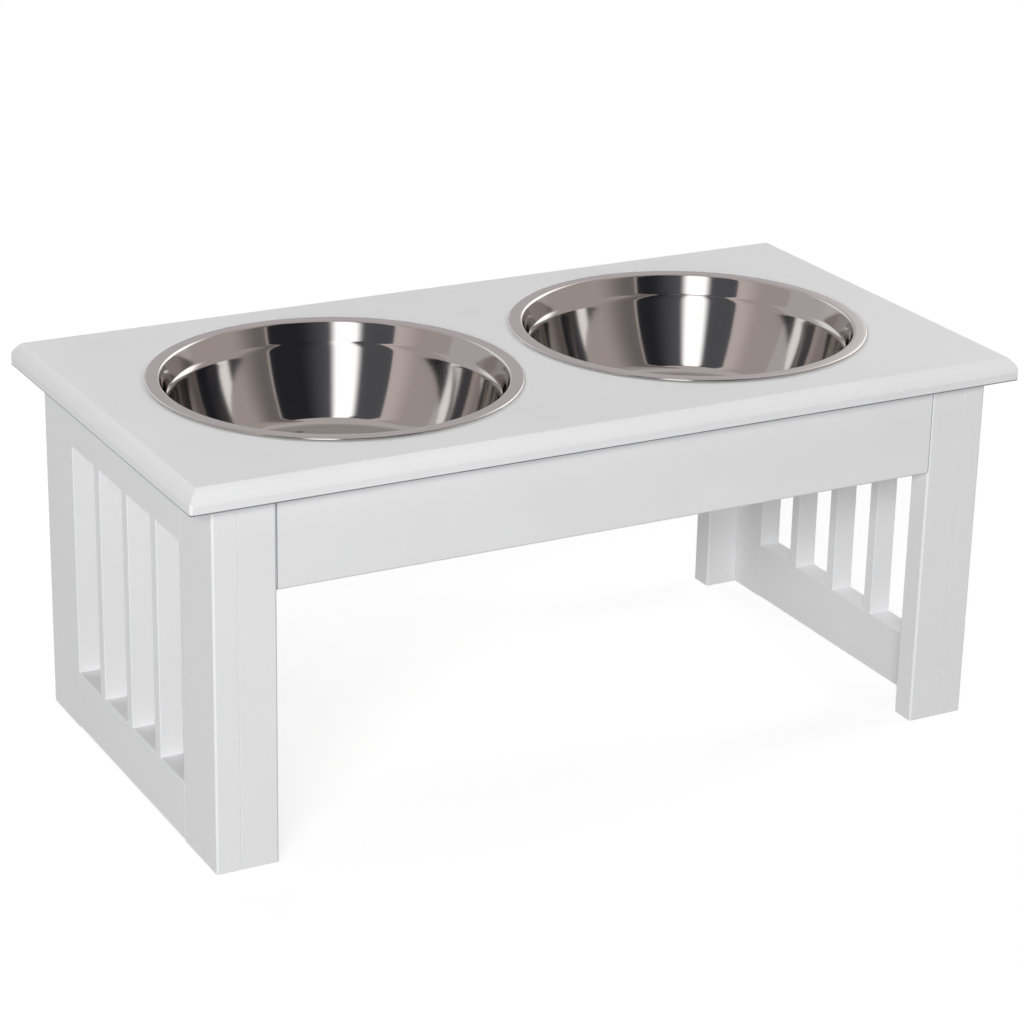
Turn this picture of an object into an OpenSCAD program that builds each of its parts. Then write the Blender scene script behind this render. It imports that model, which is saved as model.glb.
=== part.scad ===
// Raised feeding stand for a dog: a white painted table with two lift-out steel bowls.
//
// A moulded top board carries the bowls in two round cut-outs. It stands on two slatted end
// frames, joined by a front and a back apron that butt against a block in each corner.
// X runs along the length, Y from front to back and Z up from the floor. The origin is on the
// floor under the centre of the top board. Every corner piece is drawn once, at the back right,
// and mirrored to the other corners.

/* [Stand] */
// Length of the top board, end to end
top_length = 584; // [560:1:720]
// Depth of the top board, front to back
top_depth = 305; // [285:1:400]
// Height of the top face above the floor
stand_height = 254; // [200:1:400]
// Overhang of the top board past each end frame
end_overhang = 18; // [5:1:24]
// Overhang of the top board past the legs at the front and the back
front_overhang = 12; // [4:1:16]

/* [Top board] */
// Thickness of the top board
top_thickness = 15; // [13:0.5:24]
// Height of the upright land at the foot of the moulded edge
edge_land = 5.5; // [3:0.5:10]
// Width of the moulded edge, seen from above
edge_inset = 6.5; // [4:0.5:12]
// Radius of the shallow curve across the moulded edge
edge_curve_r = 18; // [14:1:60]
// Radius of the upright corners of the top board
top_corner_r = 3; // [1:0.5:8]

/* [End frames] */
// Thickness of the end frames
frame_thickness = 16; // [14:0.5:20]
// Width of the upright stiles
stile_width = 50; // [40:1:60]
// Height of the top rail
top_rail_height = 40; // [38:1:60]
// Height of the bottom rail
bottom_rail_height = 40; // [38:1:70]
// Width of the slats, seen from the end of the stand
slat_width = 9; // [8:0.5:18]
// Set-back of the slats from each face of the end frame
slat_recess = 0.2; // [0.1:0.1:1.5]
// Length of the tenon on each end of a slat
tenon_length = 8; // [5:0.5:8]
// Shoulder around the tenon, on each of its four sides
tenon_shoulder = 2; // [1:0.5:3]
// Gap around a tenon in its mortise
tenon_clearance = 0.1; // [0.05:0.05:0.3]

/* [Leg blocks and aprons] */
// Width of the corner block beside each stile
block_width = 25; // [20:1:36]
// Depth of the corner block, front to back
block_depth = 18; // [16:1:40]
// Height of the aprons
apron_height = 60; // [54:1:90]
// Thickness of the aprons
apron_thickness = 15; // [14:0.5:20]

/* [Edges] */
// Radius of the edges that hands and paws meet
edge_r = 1.5; // [0.8:0.1:2.5]
// Radius of the edges at the joints and in the slots
seam_r = 0.5; // [0.3:0.1:0.8]

/* [Bowls] */
// Distance between the centres of the two bowls
bowl_spacing = 260; // [252:1:272]
// Outside diameter of the bowl's rim
rim_d = 240; // [220:1:248]
// Width of the rim, from its outer edge to the bowl's wall
rim_width = 9.5; // [8.5:0.5:14]
// Depth of the bowl, from the top of its rim to its floor
bowl_depth = 64; // [45:1:90]
// Thickness of the steel sheet
sheet = 0.8; // [0.6:0.1:1.2]
// Height of the folded hem around the rim
hem_height = 1.8; // [1.4:0.1:2.4]
// Width of the folded hem
hem_width = 2.4; // [2:0.1:3.4]
// Radius of the bend from the rim down into the wall
rim_bend_r = 2; // [1.5:0.5:4]
// Length of the straight neck below the rim's bend, measured along the sheet
neck_length = 11.5; // [6:0.5:14]
// Slope of the neck, away from upright
neck_slope = 19; // [12:1:24]
// Radius of the hollow bend from the neck into the stacking step
step_bend_r = 4; // [3:0.5:6]
// Slope of the stacking step, away from upright
step_slope = 38; // [32:1:55]
// Radius of the rounded bend from the step into the wall
step_nose_r = 9; // [4:0.5:12]
// Slope of the wall just below the step, away from upright
wall_slope = 13.5; // [8:0.5:16]
// Radius of the long curve down the wall
wall_curve_r = 180; // [120:10:260]
// Radius of the bend from the wall to the floor
floor_bend_r = 10; // [8:1:16]
// Gap between the bowl's neck and its cut-out
cutout_gap = 1.2; // [0.8:0.1:3]

/* [Fixings] */
// Diameter of the wooden dowels
dowel_d = 8; // [6:0.5:8]
// Gap around the dowels and bolts in their holes
hole_gap = 0.1; // [0.05:0.05:0.2]
// Depth of a dowel in the piece that it enters across its thickness
dowel_short = 10; // [8:0.5:11]
// Depth of a dowel in the piece that it enters along its length
dowel_long = 20; // [16:1:22]
// Distance between the two dowels of a rail joint or an apron joint
rail_dowel_pitch = 20; // [18:1:22]
apron_dowel_pitch = 36; // [32:1:38]
// Height of the lower and of the upper dowel between a leg block and its stile
block_dowel_low = 40; // [20:1:60]
block_dowel_high = 150; // [100:1:160]
// Diameter of the cam locks
cam_d = 15; // [12:0.5:15]
// Depth of the cam locks
cam_depth = 12; // [10:0.5:12.5]
// Distance of a cam lock's centre from the joint that it draws together
cam_setback = 24; // [20:1:26]
// Length of the cam bolt's thread
thread_length = 11; // [8:0.5:11]
// Diameter of the cam bolt's thread
thread_d = 6; // [5:0.5:6]

/* [Hidden] */

$fn = 64;
cut = 1; // how far a cutting shape runs past the face that it opens

paint = "#e9e9ea";
birch = "#d8bd90";
steel = "#b9b4ae";
zinc = "#a3a5a8";

// The stand's main planes
under_top = stand_height - top_thickness;
frame_out = top_length / 2 - end_overhang;
frame_in = frame_out - frame_thickness;
frame_mid = (frame_out + frame_in) / 2;
block_in = frame_in - block_width;
leg_face = top_depth / 2 - front_overhang;
block_mid = leg_face - block_depth / 2;
apron_mid = leg_face - apron_thickness / 2;
apron_mid_z = under_top - apron_height / 2;

// The opening of an end frame and the three slats in it
slot_low = bottom_rail_height;
slot_high = under_top - top_rail_height;
slat_thickness = frame_thickness - 2 * slat_recess;
rail_length = 2 * (leg_face - stile_width);
slat_pitch = (rail_length + slat_width) / 4;
top_rail_mid = under_top - top_rail_height / 2;
bottom_rail_mid = bottom_rail_height / 2;

// The bowl's profile, with height 0 at the table's top face
rim_r = rim_d / 2;
neck_r = rim_r - rim_width;
bowl_floor = hem_height - bowl_depth;
cutout_r = neck_r + sheet + cutout_gap;
bend_centre = [neck_r + rim_bend_r, hem_height - rim_bend_r];
step_in_centre = bend_centre - neck_length * [sin(neck_slope), cos(neck_slope)]
    + (rim_bend_r + step_bend_r) * [-cos(neck_slope), sin(neck_slope)];
step_out_centre = step_in_centre + (step_bend_r + step_nose_r) * [cos(step_slope), -sin(step_slope)];
wall_centre = step_out_centre + (step_nose_r + wall_curve_r) * [-cos(wall_slope), sin(wall_slope)];
// The wall runs into the floor's bend at the slope at which that bend just meets the floor
foot_slope = asin((wall_centre.y - floor_bend_r - bowl_floor) / (wall_curve_r - floor_bend_r));
floor_centre = wall_centre + (wall_curve_r - floor_bend_r) * [cos(foot_slope), -sin(foot_slope)];

// The fixings
dowel_chamfer = 0.8;
dowel_end_gap = 0.8; // spare depth of a hole past the dowel's end
rail_dowel_side = (stile_width - block_depth) / 2; // depth of a rail's dowel in the stile
top_dowel_y = leg_face - stile_width / 2;
cam_rail_y = slat_pitch / 2; // the cam locks stand midway between the slats
bolt_head_d = 6;
bolt_head_length = 3;
bolt_neck_d = 3.6;
bolt_neck_length = 5;
bolt_shank_d = 6.4;
cam_pocket_d = bolt_head_d + 1;
cam_slot = [9, 1.4, 1.5]; // length, width and depth of the driver's cross slot

// ---------- Places ----------

module right() children();
module left() mirror([1, 0, 0]) children();
module back() children();
module front() mirror([0, 1, 0]) children();

module at_ends() {
    left() children();
    right() children();
}

module at_corners() {
    at_ends() {
        front() children();
        back() children();
    }
}

// Turns a shape that stands along Z so that it lies along +X, or along +Y
module along_x() rotate([0, 90, 0]) children();
module along_y() rotate([-90, 0, 0]) children();

// ---------- Shapes that recur ----------

// Points on an arc, from one angle to another
function arc(centre, r, from, to, steps = 8) = [
    for (i = [0:steps]) let (a = from + (to - from) * i / steps) centre + r * [cos(a), sin(a)]
];

// What an eased corner loses: the square corner less its rounding, pointing to +X +Y
module corner_waste(r) {
    difference() {
        translate([-r, -r]) square(r + cut);
        translate([-r, -r]) circle(r);
    }
}

// A rectangle from the origin, with the corners eased in the order of its quarters:
// far corner, top left, origin, bottom right
module eased_rectangle(size, radii) {
    difference() {
        square(size);
        translate(size) corner_waste(radii[0]);
        translate([0, size.y]) mirror([1, 0]) corner_waste(radii[1]);
        mirror([1, 0]) mirror([0, 1]) corner_waste(radii[2]);
        translate([size.x, 0]) mirror([0, 1]) corner_waste(radii[3]);
    }
}

// ---------- Wooden dowels ----------

// A dowel along +Z, with its joint at height 0: so much of it below and so much above
module dowel(below, above) {
    r = dowel_d / 2;
    rotate_extrude()
        polygon([
            [0, -below],
            [r - dowel_chamfer, -below],
            [r, dowel_chamfer - below],
            [r, above - dowel_chamfer],
            [r - dowel_chamfer, above],
            [0, above],
        ]);
}

// The holes for such a dowel, in both pieces at once
module dowel_hole(below, above) {
    length = below + above + 2 * dowel_end_gap;
    translate([0, 0, -below - dowel_end_gap])
        cylinder(d = dowel_d + 2 * hole_gap, h = length);
}

// Two dowels across the joint of a stile with each rail, at the back right
module at_rail_joints() {
    for (z = [bottom_rail_mid, top_rail_mid])
        for (step = [-1, 1])
            translate([frame_mid, rail_length / 2, z + step * rail_dowel_pitch / 2]) along_y() children();
}

// Two dowels across the joint of a leg block with its stile
module at_block_joints() {
    for (z = [block_dowel_low, block_dowel_high])
        translate([frame_in, block_mid, z]) along_x() children();
}

// Two dowels across the joint of an apron with its leg block
module at_apron_joints() {
    for (step = [-1, 1])
        translate([block_in, apron_mid, apron_mid_z + step * apron_dowel_pitch / 2]) along_x() children();
}

// One dowel from each stile up into the top board
module at_stile_top() translate([frame_mid, top_dowel_y, under_top]) children();

module rail_dowels() color(birch) at_corners() at_rail_joints() dowel(dowel_long, rail_dowel_side);

module leg_block_dowels() {
    color(birch) at_corners() at_block_joints() dowel(dowel_short + dowel_chamfer, dowel_short);
}

module apron_dowels() color(birch) at_corners() at_apron_joints() dowel(dowel_long, dowel_short);

module top_dowels() color(birch) at_corners() at_stile_top() dowel(dowel_long, dowel_short);

// ---------- Cam locks and their bolts ----------

// A bolt along +Z with its joint at height 0: its thread above, its head in the cam lock below
module cam_bolt() {
    head_top = bolt_head_length / 2 - cam_setback;
    neck_top = head_top + bolt_neck_length;
    rotate_extrude()
        polygon([
            [0, -cam_setback - bolt_head_length / 2],
            [bolt_head_d / 2 - 1, -cam_setback - bolt_head_length / 2],
            [bolt_head_d / 2, 1 - cam_setback - bolt_head_length / 2],
            [bolt_head_d / 2, head_top - 0.5],
            [bolt_neck_d / 2, head_top],
            [bolt_neck_d / 2, neck_top],
            [bolt_shank_d / 2, neck_top + 1],
            [bolt_shank_d / 2, -0.5],
            [thread_d / 2, 0],
            [thread_d / 2, thread_length - 1],
            [thread_d / 2 - 1, thread_length],
            [0, thread_length],
        ]);
}

// The holes for the bolt: the threaded one above the joint and the clearance hole below it
module cam_bolt_hole() {
    cylinder(d = thread_d + 2 * hole_gap, h = thread_length + dowel_end_gap);
    translate([0, 0, -cam_setback]) cylinder(d = bolt_shank_d + 2 * hole_gap, h = cam_setback);
}

// A cam lock whose face lies at height 0 with its body below, open towards +X for the bolt.
// The bolt runs at the given depth below the face.
module cam_lock(bolt_depth) {
    difference() {
        translate([0, 0, -cam_depth]) cylinder(d = cam_d, h = cam_depth);
        translate([0, 0, -bolt_depth]) {
            along_x() cylinder(d = cam_pocket_d, h = cam_d);
            sphere(d = cam_pocket_d);
        }
        for (turn = [45, 135])
            rotate([0, 0, turn])
                translate([-cam_slot.x / 2, -cam_slot.y / 2, -cam_slot.z])
                    cube([cam_slot.x, cam_slot.y, cam_slot.z + cut]);
    }
}

// The round pocket for a cam lock, sunk from the face at height 0
module cam_hole() {
    translate([0, 0, -cam_depth - dowel_end_gap])
        cylinder(d = cam_d + 2 * hole_gap, h = cam_depth + dowel_end_gap + cut);
}

// The joint of the top rail with the top board, and the inner face of that rail at the cam lock
module at_rail_bolt() translate([frame_mid, cam_rail_y, under_top]) children();
module at_rail_cam() {
    translate([frame_in, cam_rail_y, under_top - cam_setback]) rotate([0, -90, 0]) children();
}

// The joint of an apron with its leg block, and the inner face of the apron at the cam lock
module at_apron_bolt() translate([block_in, apron_mid, apron_mid_z]) along_x() children();
module at_apron_cam() {
    translate([block_in - cam_setback, leg_face - apron_thickness, apron_mid_z])
        rotate([90, 0, 0]) children();
}

module cam_locks() {
    color(zinc) at_corners() {
        at_rail_cam() cam_lock(frame_thickness / 2);
        at_apron_cam() cam_lock(apron_thickness / 2);
    }
}

module cam_bolts() {
    color(zinc) at_corners() {
        at_rail_bolt() cam_bolt();
        at_apron_bolt() cam_bolt();
    }
}

// ---------- Top board ----------

// What the moulded edge removes from a corner of the board's section, pointing to +X +Y:
// all that lies outside the shallow curve between the land and the top face
module edge_waste() {
    rise = top_thickness - edge_land;
    chord = sqrt(edge_inset ^ 2 + rise ^ 2);
    lean = atan2(edge_inset, rise);
    sag_side = sqrt(edge_curve_r ^ 2 - (chord / 2) ^ 2);
    difference() {
        translate([-edge_inset, -rise]) square([edge_inset + cut, rise + cut]);
        translate([-edge_inset / 2, -rise / 2])
            translate(-sag_side * [cos(lean), sin(lean)])
                circle(edge_curve_r, $fn = 128);
    }
}

// The board's section across one direction, with both edges moulded
module top_section(width) {
    difference() {
        translate([-width / 2, 0]) eased_rectangle([width, top_thickness], [0, 0, seam_r, seam_r]);
        translate([width / 2, top_thickness]) edge_waste();
        mirror([1, 0]) translate([width / 2, top_thickness]) edge_waste();
    }
}

module top_blank() {
    intersection() {
        rotate([90, 0, 90]) linear_extrude(top_length + 2 * cut, center = true) top_section(top_depth);
        rotate([90, 0, 0]) linear_extrude(top_depth + 2 * cut, center = true) top_section(top_length);
        translate([-top_length / 2, -top_depth / 2, -cut])
            linear_extrude(top_thickness + 2 * cut)
                eased_rectangle([top_length, top_depth], [for (i = [1:4]) top_corner_r]);
    }
}

module table_top() {
    color(paint) difference() {
        translate([0, 0, under_top]) top_blank();
        for (side = [-1, 1])
            translate([side * bowl_spacing / 2, 0, under_top - cut])
                cylinder(r = cutout_r, h = top_thickness + 2 * cut, $fn = 128);
        at_corners() {
            at_stile_top() dowel_hole(dowel_long, dowel_short);
            at_rail_bolt() cam_bolt_hole();
        }
    }
}

// ---------- Aprons ----------

// The back apron, drawn from its inner lower corner; its section stands in Y and Z
module apron() {
    color(paint) difference() {
        translate([-block_in, leg_face - apron_thickness, under_top - apron_height])
            rotate([90, 0, 90])
                linear_extrude(2 * block_in)
                    eased_rectangle([apron_thickness, apron_height], [seam_r, seam_r, edge_r, edge_r]);
        at_ends() {
            at_apron_joints() dowel_hole(dowel_long, dowel_short);
            at_apron_bolt() cam_bolt_hole();
            at_apron_cam() cam_hole();
        }
    }
}

// ---------- End frames ----------

// The back stile of the right end frame
module stile() {
    color(paint) difference() {
        translate([frame_in, rail_length / 2, 0])
            linear_extrude(under_top)
                eased_rectangle([frame_thickness, stile_width], [edge_r, seam_r, seam_r, seam_r]);
        at_rail_joints() dowel_hole(dowel_long, rail_dowel_side);
        at_block_joints() dowel_hole(dowel_short + dowel_chamfer, dowel_short);
        at_stile_top() dowel_hole(dowel_long, dowel_short);
    }
}

// A rail of the right end frame, with its lower side at the given height
module rail(low, height, foot_r) {
    translate([0, rail_length / 2, low])
        rotate([90, 0, 0])
            linear_extrude(rail_length)
                translate([frame_in, 0])
                    eased_rectangle([frame_thickness, height], [seam_r, seam_r, foot_r, foot_r]);
}

// The mortises that take the slats' tenons at both ends
module mortises() {
    for (place = [-1, 0, 1]) slat_core(place, -tenon_clearance);
}

module top_rail() {
    color(paint) difference() {
        rail(slot_high, top_rail_height, seam_r);
        mortises();
        front() at_rail_joints() dowel_hole(dowel_long, rail_dowel_side);
        back() at_rail_joints() dowel_hole(dowel_long, rail_dowel_side);
        front() at_rail_bolt() cam_bolt_hole();
        back() at_rail_bolt() cam_bolt_hole();
        front() at_rail_cam() cam_hole();
        back() at_rail_cam() cam_hole();
    }
}

module bottom_rail() {
    color(paint) difference() {
        rail(0, bottom_rail_height, edge_r);
        mortises();
        front() at_rail_joints() dowel_hole(dowel_long, rail_dowel_side);
        back() at_rail_joints() dowel_hole(dowel_long, rail_dowel_side);
    }
}

// The full-length core of a slat, whose ends are its tenons. A negative gap makes it larger,
// as the mortises are.
module slat_core(place, gap) {
    size = [slat_thickness - 2 * (tenon_shoulder + gap), slat_width - 2 * (tenon_shoulder + gap)];
    low = slot_low - tenon_length + gap;
    high = slot_high + tenon_length - gap;
    translate([frame_mid - size.x / 2, place * slat_pitch - size.y / 2, low])
        cube([size.x, size.y, high - low]);
}

// A slat of the right end frame: place -1 is the front one, 0 the middle one, 1 the back one
module slat(place) {
    color(paint) union() {
        slat_core(place, 0);
        translate([frame_mid - slat_thickness / 2, place * slat_pitch - slat_width / 2, slot_low])
            linear_extrude(slot_high - slot_low)
                eased_rectangle([slat_thickness, slat_width], [for (i = [1:4]) seam_r]);
    }
}

// ---------- Leg blocks ----------

// The back block of the right end frame
module leg_block() {
    color(paint) difference() {
        translate([block_in, leg_face - block_depth, 0])
            linear_extrude(under_top)
                eased_rectangle([block_width, block_depth], [seam_r, edge_r, edge_r, seam_r]);
        at_block_joints() dowel_hole(dowel_short + dowel_chamfer, dowel_short);
        at_apron_joints() dowel_hole(dowel_long, dowel_short);
        at_apron_bolt() cam_bolt_hole();
    }
}

// ---------- Bowls ----------

// Half of the bowl's section. The first row of points is the side that holds the food, from the
// hem inwards to the centre; the second is the outside, one sheet away, back to the hem.
module bowl_section() {
    hem_r = hem_height / 2;
    hem_centre = [rim_r - hem_r, hem_r];
    food_side = concat(
        arc(hem_centre, hem_r, -90, 90),
        arc(bend_centre, rim_bend_r, 90, 180 - neck_slope),
        arc(step_in_centre, step_bend_r, -neck_slope, -step_slope),
        arc(step_out_centre, step_nose_r, 180 - step_slope, 180 - wall_slope, 4),
        arc(wall_centre, wall_curve_r, -wall_slope, -foot_slope),
        arc(floor_centre, floor_bend_r, -foot_slope, -90),
        [[0, bowl_floor]]
    );
    outside = concat(
        [[0, bowl_floor - sheet]],
        arc(floor_centre, floor_bend_r + sheet, -90, -foot_slope),
        arc(wall_centre, wall_curve_r + sheet, -foot_slope, -wall_slope),
        arc(step_out_centre, step_nose_r - sheet, 180 - wall_slope, 180 - step_slope, 4),
        arc(step_in_centre, step_bend_r + sheet, -step_slope, -neck_slope),
        arc(bend_centre, rim_bend_r - sheet, 180 - neck_slope, 90),
        [[rim_r - hem_width, hem_height - sheet], [rim_r - hem_width, 0]]
    );
    polygon(concat(food_side, outside));
}

// The right bowl, its hem resting on the top board
module bowl() {
    color(steel)
        translate([bowl_spacing / 2, 0, stand_height])
            rotate_extrude($fn = 128) bowl_section();
}

// ---------- The stand ----------

table_top();
front() apron();  // front_apron
back() apron();  // back_apron

left() front() stile();  // left_front_stile
left() back() stile();  // left_back_stile
left() top_rail();  // left_top_rail
left() bottom_rail();  // left_bottom_rail
left() slat(-1);  // left_front_slat
left() slat(0);  // left_middle_slat
left() slat(1);  // left_back_slat
left() front() leg_block();  // left_front_leg_block
left() back() leg_block();  // left_back_leg_block

right() front() stile();  // right_front_stile
right() back() stile();  // right_back_stile
right() top_rail();  // right_top_rail
right() bottom_rail();  // right_bottom_rail
right() slat(-1);  // right_front_slat
right() slat(0);  // right_middle_slat
right() slat(1);  // right_back_slat
right() front() leg_block();  // right_front_leg_block
right() back() leg_block();  // right_back_leg_block

left() bowl();  // left_bowl
right() bowl();  // right_bowl

rail_dowels();
leg_block_dowels();
top_dowels();
apron_dowels();
cam_locks();
cam_bolts();
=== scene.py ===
from math import asin, cos, degrees, radians, sin

import bmesh
import bpy
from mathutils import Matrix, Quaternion, Vector


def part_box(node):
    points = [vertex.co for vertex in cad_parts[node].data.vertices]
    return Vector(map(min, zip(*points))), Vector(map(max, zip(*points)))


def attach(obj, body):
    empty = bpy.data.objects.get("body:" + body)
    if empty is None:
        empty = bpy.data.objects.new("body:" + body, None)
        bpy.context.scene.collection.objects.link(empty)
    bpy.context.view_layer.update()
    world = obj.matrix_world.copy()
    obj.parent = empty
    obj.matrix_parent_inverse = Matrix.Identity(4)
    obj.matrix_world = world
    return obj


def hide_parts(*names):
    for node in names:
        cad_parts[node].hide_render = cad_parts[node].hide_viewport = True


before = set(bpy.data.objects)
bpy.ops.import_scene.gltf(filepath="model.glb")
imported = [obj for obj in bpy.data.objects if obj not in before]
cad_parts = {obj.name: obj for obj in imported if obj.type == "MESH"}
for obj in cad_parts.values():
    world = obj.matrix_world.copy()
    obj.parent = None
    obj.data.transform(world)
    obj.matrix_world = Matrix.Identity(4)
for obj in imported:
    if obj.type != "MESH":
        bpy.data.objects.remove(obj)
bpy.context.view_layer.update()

# ---------- Top board ----------
# A 15 mm fibreboard with a routed moulding on all four sides and two round cut-outs. It is sprayed
# with white satin paint, so no grain shows: only a soft sheen and a faint orange peel.

mm = 0.001  # the frame's unit is the metre


def linear(code):
    """An sRGB hex colour as the linear colour that a shader takes."""
    parts = [int(code[i : i + 2], 16) / 255 for i in (1, 3, 5)]
    return [v / 12.92 if v <= 0.04045 else ((v + 0.055) / 1.055) ** 2.4 for v in parts] + [1]


def add(tree, kind, inputs=(), **settings):
    """Adds a node with its settings. Its inputs pair a socket with a value or with another's output."""
    node = tree.nodes.new(kind)
    for name, value in settings.items():
        setattr(node, name, value)
    for socket, value in dict(inputs).items():
        if isinstance(value, bpy.types.NodeSocket):
            tree.links.new(value, node.inputs[socket])
        else:
            node.inputs[socket].default_value = value
    return node


def new_material(name):
    """An empty material: its node tree, and the output to link a shader to."""
    material = bpy.data.materials.new(name)
    material.use_nodes = True
    material.node_tree.nodes.clear()
    return material, material.node_tree, add(material.node_tree, "ShaderNodeOutputMaterial")


# White satin paint on fibreboard, sprayed: a clean, slightly cool white with a broad, soft gloss
white_paint, tree, out = new_material("white_satin_paint")
place = add(tree, "ShaderNodeTexCoord").outputs["Object"]
# Patches as wide as a pass of the spray gun, a shade lighter and darker
passes = add(tree, "ShaderNodeTexNoise", {"Vector": place, "Scale": 1 / (70 * mm), "Detail": 3})
tone = add(tree, "ShaderNodeMix", data_type="RGBA", inputs={
    "Factor": passes.outputs["Fac"],
    "A": linear("#e4e4e5"),
    "B": linear("#ebebec"),
})
sheen = add(tree, "ShaderNodeMapRange", {
    "Value": passes.outputs["Fac"],
    "To Min": 0.36,
    "To Max": 0.46,
})
# Painted shade: the joints of the aprons with the legs stay open by a hair, and the lower arris of
# the top lies in its own shade; the shade of both is painted into the colour as thin dark lines
line = 0.4 * mm  # half the width of such a line
apron_low, apron_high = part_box("front_apron")
apron_middle = (apron_low[2] + apron_high[2]) / 2
apron_half = apron_high[2] - apron_middle
face_y = -apron_low[1]
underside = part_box("table_top")[0][2]
spot = add(tree, "ShaderNodeSeparateXYZ", {"Vector": place}).outputs
off_centre = add(tree, "ShaderNodeMath", {0: spot["X"]}, operation="ABSOLUTE").outputs[0]
off_middle = add(tree, "ShaderNodeMath", {0: spot["Y"]}, operation="ABSOLUTE").outputs[0]
at_face = add(
    tree, "ShaderNodeMath", {0: off_middle, 1: face_y - line}, operation="GREATER_THAN"
).outputs[0]
below_top = add(
    tree, "ShaderNodeMath", {0: spot["Z"], 1: underside}, operation="LESS_THAN"
).outputs[0]
on_face = add(tree, "ShaderNodeMath", {0: at_face, 1: below_top}, operation="MULTIPLY").outputs[0]
at_end = add(
    tree, "ShaderNodeMath", {0: off_centre, 1: apron_high[0], 2: line}, operation="COMPARE"
).outputs[0]
beside_apron = add(
    tree, "ShaderNodeMath", {0: spot["Z"], 1: apron_middle, 2: apron_half}, operation="COMPARE"
).outputs[0]
leg_shade_line = add(tree, "ShaderNodeMath", {0: at_end, 1: on_face}, operation="MULTIPLY").outputs[0]
joint_shade = add(tree, "ShaderNodeMath", {0: leg_shade_line, 1: beside_apron}, operation="MULTIPLY").outputs[0]
arris_z = underside + 1.1 * line  # so that the line ends just above the underside itself
arris_shade = add(
    tree, "ShaderNodeMath", {0: spot["Z"], 1: arris_z, 2: line}, operation="COMPARE"
).outputs[0]
painted_shade = add(tree, "ShaderNodeMath", {0: joint_shade, 1: arris_shade}, operation="MAXIMUM").outputs[0]
# Painted shade: a dark grey in the apron joints and along the top's lower arris
tone_with_painted_shade = add(tree, "ShaderNodeMix", data_type="RGBA", inputs={
    "Factor": painted_shade,
    "A": tone.outputs["Result"],
    "B": linear("#6f7073"),
})
# The orange peel of sprayed paint is 1 to 2 mm wide; it is drawn 2.5 mm wide, to show at all
peel = add(tree, "ShaderNodeTexNoise", {"Vector": place, "Scale": 1 / (2.5 * mm), "Detail": 2})
relief = add(tree, "ShaderNodeBump", {
    "Height": peel.outputs["Fac"],
    "Strength": 0.25,
    "Distance": 0.03 * mm,
})
# The paint bridges the seam between a stile and its leg block, so that it hardly shows: it levels
# the eased corners, and a painted light, whiter where the seam is deepest, cancels the groove's shade
seam_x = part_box("right_front_leg_block")[1][0]
levelled = 0.6 * mm  # half the width over which the paint is level
crack = 0.32 * mm  # half the width of the deep part
near_seam = add(
    tree, "ShaderNodeMath", {0: off_centre, 1: seam_x, 2: levelled}, operation="COMPARE"
).outputs[0]
bridged = add(tree, "ShaderNodeMath", {0: near_seam, 1: on_face}, operation="MULTIPLY").outputs[0]
outwards = add(tree, "ShaderNodeMath", {0: spot["Y"]}, operation="SIGN").outputs[0]
face_normal = add(tree, "ShaderNodeCombineXYZ", {"Y": outwards}).outputs[0]
level = add(tree, "ShaderNodeMix", data_type="VECTOR", inputs={
    "Factor": bridged,
    "A": relief.outputs["Normal"],
    "B": face_normal,
})
in_seam = add(
    tree, "ShaderNodeMath", {0: off_centre, 1: seam_x, 2: crack}, operation="COMPARE"
).outputs[0]
seam_painted_light = add(tree, "ShaderNodeMath", {0: in_seam, 1: on_face}, operation="MULTIPLY").outputs[0]
# Painted light in the seam: a near-white that lifts the shade of its groove
tone_with_painted_light = add(tree, "ShaderNodeMix", data_type="RGBA", inputs={
    "Factor": seam_painted_light,
    "A": tone_with_painted_shade.outputs["Result"],
    "B": linear("#fafafb"),
})
shader = add(tree, "ShaderNodeBsdfPrincipled", {
    "Base Color": tone_with_painted_light.outputs["Result"],
    "Roughness": sheen.outputs["Result"],
    "Normal": level.outputs["Result"],
    "IOR": 1.5,
})
tree.links.new(shader.outputs["BSDF"], out.inputs["Surface"])


def finish_nodes(material, *names):
    """Gives a material to CAD nodes that keep their own shape."""
    for name in names:
        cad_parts[name].material_slots[0].material = material


def new_object(name, data):
    """A mesh, a lamp or a camera as an object of the scene."""
    piece = bpy.data.objects.new(name, data)
    bpy.context.scene.collection.objects.link(piece)
    return piece


def smooth_copy(name, sharp_from):
    """A merged copy of a CAD node, shaded smooth but for its edges sharper than so many degrees."""
    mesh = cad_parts[name].data.copy()
    shape = bmesh.new()
    shape.from_mesh(mesh)
    bmesh.ops.remove_doubles(shape, verts=shape.verts, dist=0.002 * mm)
    shape.to_mesh(mesh)
    shape.free()
    mesh.shade_smooth()
    mesh.set_sharp_from_angle(angle=radians(sharp_from))
    piece = new_object(name + "_finished", mesh)
    even = piece.modifiers.new("even shading", "WEIGHTED_NORMAL")
    even.keep_sharp = True
    return piece


table_top = smooth_copy("table_top", sharp_from=15)
table_top.data.materials.clear()
table_top.data.materials.append(white_paint)
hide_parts("table_top")
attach(table_top, "stand")

# ---------- Aprons ----------
# Two painted boards on edge, between the legs at the front and the back. They butt flush against
# the leg blocks, on two dowels and a cam lock at each end.

finish_nodes(white_paint, "front_apron", "back_apron")

# ---------- End frames ----------
# Two stiles and two rails of painted wood, dowelled into a frame, with three slats tenoned
# between the rails.

for side in ("left", "right"):
    finish_nodes(white_paint, side + "_front_stile", side + "_back_stile")
    finish_nodes(white_paint, side + "_top_rail", side + "_bottom_rail")
    finish_nodes(white_paint, side + "_front_slat", side + "_middle_slat", side + "_back_slat")

# ---------- Leg blocks ----------
# A painted block of wood inside each of the four stiles, which makes the leg wide enough to carry
# the end of an apron. Two dowels join it to its stile.

for corner in ("left_front", "left_back", "right_front", "right_back"):
    finish_nodes(white_paint, corner + "_leg_block")

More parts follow.
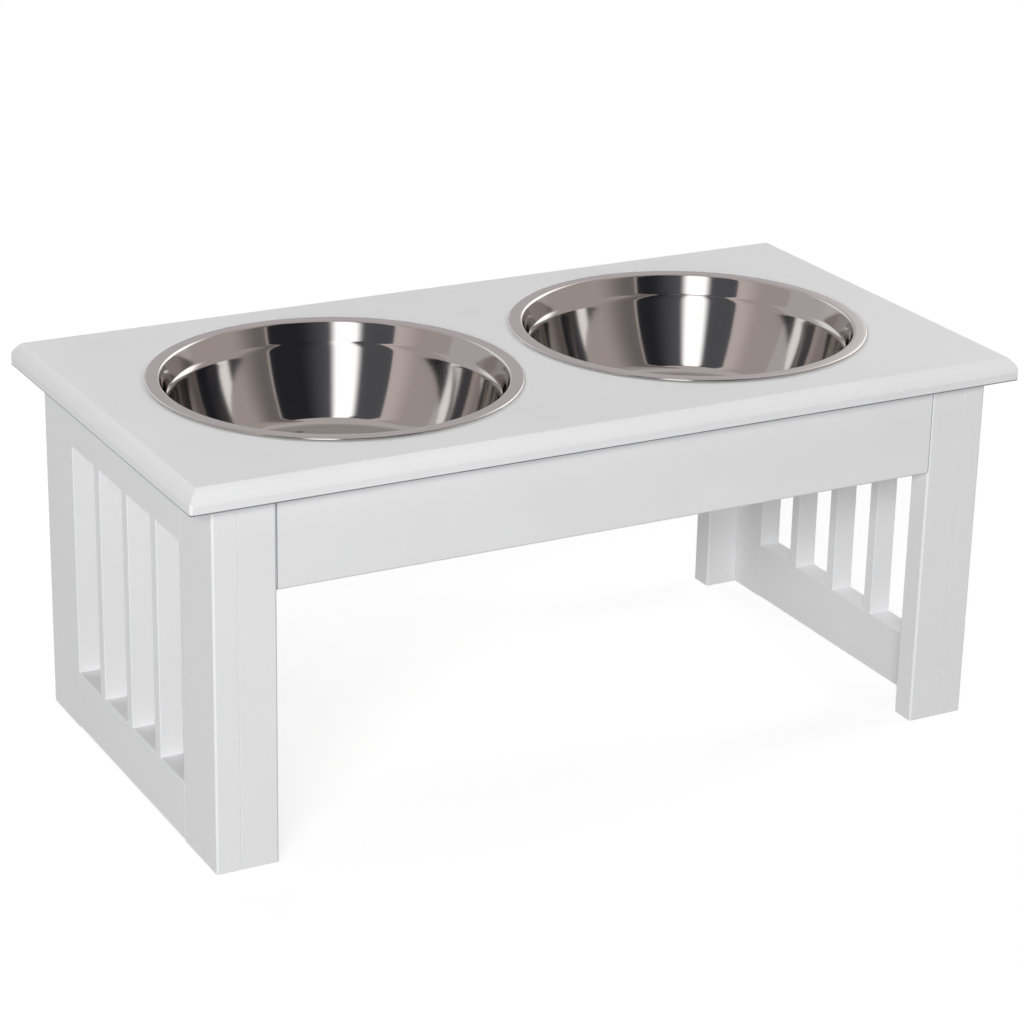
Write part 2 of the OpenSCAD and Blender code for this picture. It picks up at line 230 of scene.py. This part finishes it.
# ---------- Bowls ----------
# Two stainless steel bowls of 0.8 mm sheet, spun on a lathe: a folded hem, a flat rim, a steep
# neck, a soft stacking step and a long curved wall. The inside is polished to a mirror, and they
# hang loose by the rim. They are spun here again, finely, because a mirror shows every facet.

sheet = 0.8 * mm
hem_height = 1.8 * mm
hem_width = 2.4 * mm
rim_width = 9.5 * mm
rim_bend_r = 2 * mm
neck_length = 11.5 * mm
neck_slope = 19  # slopes are in degrees, away from upright
step_bend_r = 4 * mm
step_slope = 38
step_nose_r = 9 * mm
wall_slope = 13.5
wall_curve_r = 180 * mm
floor_bend_r = 10 * mm

low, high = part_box("left_bowl")
rim_r = (high[0] - low[0]) / 2
rim_top = high[2]
bowl_floor = low[2] + sheet


def polar(r, angle):
    """A step of length r in the profile's plane, at an angle from straight outwards."""
    return Vector((r * cos(radians(angle)), r * sin(radians(angle))))


def arc(centre, r, start, end, pitch=2.5):
    """Points on an arc, a few degrees apart."""
    steps = max(2, round(abs(end - start) / pitch))
    return [centre + polar(r, start + (end - start) * i / steps) for i in range(steps + 1)]


def bowl_profile():
    """Half of the bowl's section, as points of radius and height: the food side, then the outside."""
    neck_r = rim_r - rim_width
    hem_centre = Vector((rim_r - hem_height / 2, rim_top - hem_height / 2))
    bend_centre = Vector((neck_r + rim_bend_r, rim_top - rim_bend_r))
    neck_foot = bend_centre + polar(neck_length, -90 - neck_slope)
    step_in = neck_foot + polar(rim_bend_r + step_bend_r, 180 - neck_slope)
    step_out = step_in + polar(step_bend_r + step_nose_r, -step_slope)
    wall_centre = step_out + polar(step_nose_r + wall_curve_r, 180 - wall_slope)
    # The wall runs into the floor's bend at the slope at which that bend just meets the floor
    bend_reach = wall_curve_r - floor_bend_r
    foot_slope = degrees(asin((wall_centre.y - floor_bend_r - bowl_floor) / bend_reach))
    floor_centre = wall_centre + polar(bend_reach, -foot_slope)
    fine, coarse = 0.5, 10  # degrees between points on the long wall, and on the small hem
    food_side = [
        [Vector((0, bowl_floor))],
        arc(floor_centre, floor_bend_r, -90, -foot_slope),
        arc(wall_centre, wall_curve_r, -foot_slope, -wall_slope, fine),
        arc(step_out, step_nose_r, 180 - wall_slope, 180 - step_slope),
        arc(step_in, step_bend_r, -step_slope, -neck_slope),
        arc(bend_centre, rim_bend_r, 180 - neck_slope, 90),
        arc(hem_centre, hem_height / 2, 90, -90, coarse),
    ]
    hem_foot = rim_top - hem_height
    outside = [
        [Vector((rim_r - hem_width, hem_foot)), Vector((rim_r - hem_width, rim_top - sheet))],
        arc(bend_centre, rim_bend_r - sheet, 90, 180 - neck_slope),
        arc(step_in, step_bend_r + sheet, -neck_slope, -step_slope),
        arc(step_out, step_nose_r - sheet, 180 - step_slope, 180 - wall_slope),
        arc(wall_centre, wall_curve_r + sheet, -wall_slope, -foot_slope, fine),
        arc(floor_centre, floor_bend_r + sheet, -foot_slope, -90),
        [Vector((0, bowl_floor - sheet))],
    ]
    corners = [point for run in food_side + outside for point in run]
    points = [corners[0]]
    spacing = 2 * mm
    for point in corners[1:]:
        steps = max(1, round((point - points[-1]).length / spacing))
        points += [points[-1].lerp(point, i / steps) for i in range(1, steps + 1)]
    return points


# Polished stainless steel: a warm grey mirror, with the finest rings left by the polishing
steel, tree, out = new_material("polished_stainless_steel")
place = add(tree, "ShaderNodeTexCoord").outputs["Object"]
along = add(tree, "ShaderNodeAttribute", attribute_name="along").outputs["Fac"]
# The polishing rings are finer than 0.2 mm; they are drawn 0.8 mm apart, to show as a faint sheen
rings = add(tree, "ShaderNodeTexNoise", noise_dimensions="1D", inputs={
    "W": along,
    "Scale": 1 / (0.8 * mm),
    "Detail": 3,
})
relief = add(tree, "ShaderNodeBump", {
    "Height": rings.outputs["Fac"],
    "Strength": 0.1,
    "Distance": 0.004 * mm,
})
# Handling leaves a dull film in soft patches of a few centimetres
film = add(tree, "ShaderNodeTexNoise", {"Vector": place, "Scale": 1 / (35 * mm), "Detail": 4})
gloss = add(tree, "ShaderNodeMapRange", {
    "Value": film.outputs["Fac"],
    "To Min": 0.05,
    "To Max": 0.11,
})
shader = add(tree, "ShaderNodeBsdfPrincipled", {
    "Base Color": linear("#cdcac8"),
    "Metallic": 1,
    "Roughness": gloss.outputs["Result"],
    "Normal": relief.outputs["Normal"],
})
tree.links.new(shader.outputs["BSDF"], out.inputs["Surface"])


def socket(tree, name, kind, default=None, side="INPUT"):
    """Adds a named socket to a node tree's interface."""
    made = tree.interface.new_socket(name, in_out=side, socket_type=kind)
    if default is not None:
        made.default_value = default


# The lathe turns a profile, given as a chain of edges, about an upright axis at a centre. It sweeps
# the profile along a circle, whose radius is therefore taken off the profile's own radii.
guide_r = 1
lathe = bpy.data.node_groups.new("lathe", "GeometryNodeTree")
socket(lathe, "Profile", "NodeSocketGeometry")
socket(lathe, "Segments", "NodeSocketInt", 256)
socket(lathe, "Centre", "NodeSocketVector")
socket(lathe, "Metal", "NodeSocketMaterial")
socket(lathe, "Bowl", "NodeSocketGeometry", side="OUTPUT")
given = add(lathe, "NodeGroupInput").outputs
outline = add(lathe, "GeometryNodeMeshToCurve", {"Mesh": given["Profile"]})
length = add(lathe, "GeometryNodeSplineParameter").outputs["Length"]
marked = add(lathe, "GeometryNodeStoreNamedAttribute", {
    "Geometry": outline.outputs["Curve"],
    "Name": "along",
    "Value": length,
})
circle = add(lathe, "GeometryNodeCurvePrimitiveCircle", {
    "Resolution": given["Segments"],
    "Radius": guide_r,
})
turned = add(lathe, "GeometryNodeCurveToMesh", {
    "Curve": circle.outputs["Curve"],
    "Profile Curve": marked.outputs["Geometry"],
})
closed = add(lathe, "GeometryNodeMergeByDistance", {
    "Geometry": turned.outputs["Mesh"],
    "Distance": 0.001 * mm,
})
moved = add(lathe, "GeometryNodeTransform", {
    "Geometry": closed.outputs["Geometry"],
    "Translation": given["Centre"],
})
smooth = add(lathe, "GeometryNodeSetShadeSmooth", {"Geometry": moved.outputs["Geometry"]})
real = add(lathe, "GeometryNodeRealizeInstances", {"Geometry": smooth.outputs["Geometry"]})
coated = add(lathe, "GeometryNodeSetMaterial", {
    "Geometry": real.outputs["Geometry"],
    "Material": given["Metal"],
})
add(lathe, "NodeGroupOutput", {"Bowl": coated.outputs["Geometry"]})


def run_tree(name, chain, group, values):
    """Runs a geometry tree on a chain of points and returns the result as a plain object."""
    mesh = bpy.data.meshes.new(name)
    mesh.from_pydata(chain, [(i, i + 1) for i in range(len(chain) - 1)], [])
    piece = new_object(name, mesh)
    modifier = piece.modifiers.new(group.name, "NODES")
    modifier.node_group = group
    for item in group.interface.items_tree:
        if item.name in values:
            modifier[item.identifier] = values[item.name]
    graph = bpy.context.evaluated_depsgraph_get()
    result = bpy.data.meshes.new_from_object(piece.evaluated_get(graph))
    piece.modifiers.clear()
    shape = bmesh.new()
    shape.from_mesh(result)
    bmesh.ops.recalc_face_normals(shape, faces=shape.faces)
    shape.to_mesh(result)
    shape.free()
    piece.data = result
    return piece


# The circle's profile plane has its second axis pointing down
chain = [(p.x - guide_r, -p.y, 0) for p in bowl_profile()]
for name in ("left_bowl", "right_bowl"):
    low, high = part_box(name)
    centre = ((low[0] + high[0]) / 2, (low[1] + high[1]) / 2, 0)
    bowl = run_tree(name + "_polished", chain, lathe, {"Centre": centre, "Metal": steel})
    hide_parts(name)
    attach(bowl, name)

# ---------- Wooden dowels ----------
# Turned birch, left bare, in the joints of the end frames, the leg blocks, the aprons and the top
# board. They are glued in, and only show where a joint is opened.

# Bare birch, turned: pale and dull
birch, tree, out = new_material("turned_birch")
place = add(tree, "ShaderNodeTexCoord").outputs["Object"]
# Fine, straight grain about 0.6 mm wide, drawn out along the stand
grain_space = add(tree, "ShaderNodeMapping", {"Vector": place, "Scale": (0.08, 1, 1)})
grain = add(tree, "ShaderNodeTexNoise", {
    "Vector": grain_space.outputs["Vector"],
    "Scale": 1 / (0.6 * mm),
    "Detail": 4,
})
tone = add(tree, "ShaderNodeMix", data_type="RGBA", inputs={
    "Factor": grain.outputs["Fac"],
    "A": linear("#c9a878"),
    "B": linear("#e0c79c"),
})
relief = add(tree, "ShaderNodeBump", {
    "Height": grain.outputs["Fac"],
    "Strength": 0.3,
    "Distance": 0.05 * mm,
})
shader = add(tree, "ShaderNodeBsdfPrincipled", {
    "Base Color": tone.outputs["Result"],
    "Roughness": 0.6,
    "Normal": relief.outputs["Normal"],
    "IOR": 1.5,
})
tree.links.new(shader.outputs["BSDF"], out.inputs["Surface"])
finish_nodes(birch, "rail_dowels", "leg_block_dowels", "top_dowels", "apron_dowels")

# ---------- Cam locks and bolts ----------
# Cast zinc cams with a cross slot, sunk in the inner faces of the aprons and the top rails, and the
# bolts that they pull on, all plated. They draw the aprons and the top board to the end frames.

# Cast zinc, plated: a dull, bluish grey metal
zinc, tree, out = new_material("plated_zinc_casting")
place = add(tree, "ShaderNodeTexCoord").outputs["Object"]
# The cast skin has grains of about 0.4 mm, which break up the plating's gloss
skin = add(tree, "ShaderNodeTexNoise", {"Vector": place, "Scale": 1 / (0.4 * mm), "Detail": 3})
tone = add(tree, "ShaderNodeMix", data_type="RGBA", inputs={
    "Factor": skin.outputs["Fac"],
    "A": linear("#9a9da1"),
    "B": linear("#b4b6b8"),
})
gloss = add(tree, "ShaderNodeMapRange", {
    "Value": skin.outputs["Fac"],
    "To Min": 0.35,
    "To Max": 0.5,
})
relief = add(tree, "ShaderNodeBump", {
    "Height": skin.outputs["Fac"],
    "Strength": 0.4,
    "Distance": 0.03 * mm,
})
shader = add(tree, "ShaderNodeBsdfPrincipled", {
    "Base Color": tone.outputs["Result"],
    "Metallic": 1,
    "Roughness": gloss.outputs["Result"],
    "Normal": relief.outputs["Normal"],
})
tree.links.new(shader.outputs["BSDF"], out.inputs["Surface"])
finish_nodes(zinc, "cam_locks", "cam_bolts")

# ---------- Studio ----------
# A white floor and a white background, a large soft light at the front left and weaker ones at the
# right, the back and the top. Around it stands what the steel mirrors: taupe walls, a dark opening
# behind the camera and a tall, narrow light in it.


def is_seen_directly(tree):
    """A socket that is 1 for what the camera sees itself, in a mirror or through glass."""
    path = add(tree, "ShaderNodeLightPath").outputs
    seen = path["Is Camera Ray"]
    for other in ("Is Glossy Ray", "Is Transmission Ray"):
        seen = add(tree, "ShaderNodeMath", {0: seen, 1: path[other]}, operation="MAXIMUM").outputs[0]
    return seen


world = bpy.data.worlds.new("white_studio")
bpy.context.scene.world = world
world.use_nodes = True
tree = world.node_tree
tree.nodes.clear()
seen = is_seen_directly(tree)
ambient = add(tree, "ShaderNodeBackground", {"Color": linear("#ffffff"), "Strength": 0.1})
white = add(tree, "ShaderNodeBackground", {"Color": linear("#ffffff"), "Strength": 1})
mixed = add(tree, "ShaderNodeMixShader", {0: seen, 1: ambient.outputs[0], 2: white.outputs[0]})
add(tree, "ShaderNodeOutputWorld", {"Surface": mixed.outputs[0]})


def studio_piece(name, points, faces, material):
    """A piece of the studio around the stand."""
    mesh = bpy.data.meshes.new(name)
    mesh.from_pydata(points, [], faces)
    mesh.materials.append(material)
    piece = new_object(name, mesh)
    return piece


# White paper: it glows for the camera, so that the sheet is white and the shadow faint, and all of
# it is plain white from a metre or so away
paper, tree, out = new_material("white_paper_floor")
seen = is_seen_directly(tree)
# The light that it throws back at the stand is that of a grey sheet
matt = add(tree, "ShaderNodeBsdfDiffuse", {"Color": linear("#8a8a8a")})
shaded = add(tree, "ShaderNodeBsdfDiffuse", {"Color": linear("#949494")})
glow = add(tree, "ShaderNodeEmission", {"Color": linear("#ffffff"), "Strength": 0.79})
lit_sheet = add(tree, "ShaderNodeAddShader", {0: shaded.outputs[0], 1: glow.outputs[0]})
plain_white = add(tree, "ShaderNodeEmission", {"Color": linear("#ffffff"), "Strength": 1})
place = add(tree, "ShaderNodeTexCoord").outputs["Object"]
away = add(tree, "ShaderNodeVectorMath", {0: place}, operation="LENGTH").outputs["Value"]
fade_start, fade_end = 0.5, 1.1  # metres from the middle of the stand
far = add(tree, "ShaderNodeMapRange", {
    "Value": away,
    "From Min": fade_start,
    "From Max": fade_end,
}).outputs["Result"]
faded = add(tree, "ShaderNodeMixShader", {0: far, 1: lit_sheet.outputs[0], 2: plain_white.outputs[0]})
paper_mix = add(tree, "ShaderNodeMixShader", {0: seen, 1: matt.outputs[0], 2: faded.outputs[0]})
tree.links.new(paper_mix.outputs[0], out.inputs["Surface"])
reach = 6  # metres from the middle to each side of the sheet
floor_z = -0.2 * mm  # just clear of the feet
corners = [(x * reach, y * reach, floor_z) for x, y in ((-1, -1), (1, -1), (1, 1), (-1, 1))]
studio_piece("floor", corners, [(0, 1, 2, 3)], paper)


def glowing(name, code, strength, left=0, right=0, ends=0):
    """A glow for a patch of the studio. It fades out over a share of the patch's width at its left
    and right side, and of its height at both ends."""
    material, tree, out = new_material(name)
    glow = add(tree, "ShaderNodeEmission", {"Color": linear(code), "Strength": strength}).outputs[0]
    across = add(tree, "ShaderNodeTexCoord").outputs["UV"]
    shares = add(tree, "ShaderNodeSeparateXYZ", {"Vector": across}).outputs
    fades = (("X", 0, left), ("X", 1, 1 - right), ("Y", 0, ends), ("Y", 1, 1 - ends))
    for axis, start, end in fades:
        if start != end:
            lit = add(tree, "ShaderNodeMapRange", interpolation_type="SMOOTHSTEP", inputs={
                "Value": shares[axis],
                "From Min": start,
                "From Max": end,
            }).outputs[0]
            clear = add(tree, "ShaderNodeBsdfTransparent").outputs[0]
            glow = add(tree, "ShaderNodeMixShader", {0: lit, 1: clear, 2: glow}).outputs[0]
    tree.links.new(glow, out.inputs["Surface"])
    return material


bowl_mouths = Vector((0, 0, rim_top))


def on_sky(azimuth, elevation, distance):
    """A point around the bowls, as they see it: azimuth from the front, positive to the right."""
    a, e = radians(azimuth), radians(elevation)
    return bowl_mouths + Vector((sin(a) * cos(e), -cos(a) * cos(e), sin(e))) * distance


def sky_patch(name, material, azimuths, elevations, distance, steps=24):
    """A patch of a sphere around the bowls, which shows in polished metal and gives no light."""
    (a0, a1), (e0, e1) = azimuths, elevations
    points = [
        on_sky(a0 + (a1 - a0) * i / steps, e0 + (e1 - e0) * j / steps, distance)
        for j in range(steps + 1) for i in range(steps + 1)
    ]
    row = steps + 1
    faces = [
        (j * row + i, j * row + i + 1, (j + 1) * row + i + 1, (j + 1) * row + i)
        for j in range(steps) for i in range(steps)
    ]
    piece = studio_piece(name, points, faces, material)
    across = piece.data.uv_layers.new(name="across")
    for corner in piece.data.loops:
        j, i = divmod(corner.vertex_index, row)
        across.data[corner.index].uv = (i / steps, j / steps)
    piece.visible_camera = False
    piece.visible_diffuse = False
    piece.visible_transmission = False
    piece.visible_volume_scatter = False
    piece.visible_shadow = False


# Walls and ceiling all round, in the taupe and pale grey that the steel takes on
walls = glowing("taupe_walls", "#b8aeab", 1)
sky_patch("studio_walls", walls, (-110, 110), (-30, 60), distance=5, steps=48)
ceiling = glowing("taupe_ceiling", "#cdc6c4", 1)
sky_patch("studio_ceiling", ceiling, (-180, 180), (50, 90), distance=5.2, steps=48)
pale_wall = glowing("pale_wall", "#c6c1c2", 1)
sky_patch("studio_back", pale_wall, (110, 250), (-30, 60), distance=5.1, steps=48)
# White backdrops at the right and behind the stand, and the lit part of the wall beside the opening
backdrop = glowing("white_backdrop", "#fffdfa", 1.8, left=0.25, right=0.25, ends=0.3)
sky_patch("back_light", backdrop, (84, 146), (0, 50), distance=4.8)
pale_backdrop = glowing("pale_backdrop", "#ffffff", 1, left=0.3, right=0.3, ends=0.3)
sky_patch("side_light", pale_backdrop, (163, 219), (0, 50), distance=4.8)
lit_wall = glowing("wall_lit_beside_it", "#d6cbc7", 1, left=0.8)
sky_patch("wall_light", lit_wall, (-88, -67), (-30, 60), distance=4.7)
# The dark opening, with dim light on what stands behind its left half, and the narrow light in it
dark_room = glowing("dark_room", "#2b2c31", 1)
sky_patch("dark_opening", dark_room, (-67.5, 30), (-20, 57), distance=4.5)
dim_room = glowing("dim_room", "#5a5b60", 1, right=0.33)
sky_patch("dim_light", dim_room, (-67.5, 0), (-20, 57), distance=4.4)
diffuser = glowing("white_diffuser", "#ffffff", 1.8, left=0.27, right=0.27)
sky_patch("strip_light", diffuser, (-47.5, -22.5), (-20, 57), distance=3)
# A screen stands close by on the right and hides the opening's far side
cloth = glowing("screen_cloth", "#b8aeab", 1)
sky_patch("screen", cloth, (17.2, 75), (-13, 80), distance=0.98)
shaded_cloth = glowing("shaded_cloth", "#7c7472", 1, right=0.8)
sky_patch("screen_shade", shaded_cloth, (17.2, 50), (-13, 80), distance=0.97)
screen_frame = glowing("screen_frame", "#c0b7b4", 1, left=0.2, right=0.2)
sky_patch("screen_edge", screen_frame, (17.2, 19.2), (-13, 80), distance=0.96)


def soft_light(name, azimuth, elevation, distance, size, watts):
    """A large square lamp turned to the stand. The steel doesn't mirror it."""
    lamp = bpy.data.lights.new(name, "AREA")
    lamp.shape = "SQUARE"
    lamp.size = size
    lamp.energy = watts
    piece = new_object(name, lamp)
    piece.location = on_sky(azimuth, elevation, distance)
    inwards = bowl_mouths - piece.location
    piece.rotation_euler = inwards.to_track_quat("-Z", "Y").to_euler()
    piece.visible_glossy = False


soft_light("key", azimuth=-38, elevation=18, distance=5, size=2, watts=236)
soft_light("right_fill", azimuth=90, elevation=30, distance=5, size=2, watts=98)
soft_light("back_fill", azimuth=180, elevation=30, distance=5, size=2, watts=96)
soft_light("top_fill", azimuth=0, elevation=89, distance=4, size=3, watts=6)

# ---------- Camera ----------
# It stands to the left of the front and well above the top board, with a long lens, so that it
# looks into both bowls and onto the left end frame. It is tipped over by little more than a degree.

camera_place = Vector((-0.9041, -1.6637, 0.8756))
camera_aim = Vector((-0.0006, 0, 0.1409))
camera_roll = 1.255  # degrees
camera = new_object("camera", bpy.data.cameras.new("camera"))
camera.data.sensor_width = 36  # this and the lens are in millimetres
camera.data.lens = 107.43
camera.location = camera_place
camera.rotation_mode = "QUATERNION"
look = (camera_aim - camera_place).to_track_quat("-Z", "Y")
camera.rotation_quaternion = look @ Quaternion((0, 0, 1), radians(camera_roll))
bpy.context.scene.camera = camera
bpy.context.scene.view_settings.view_transform = "Standard"
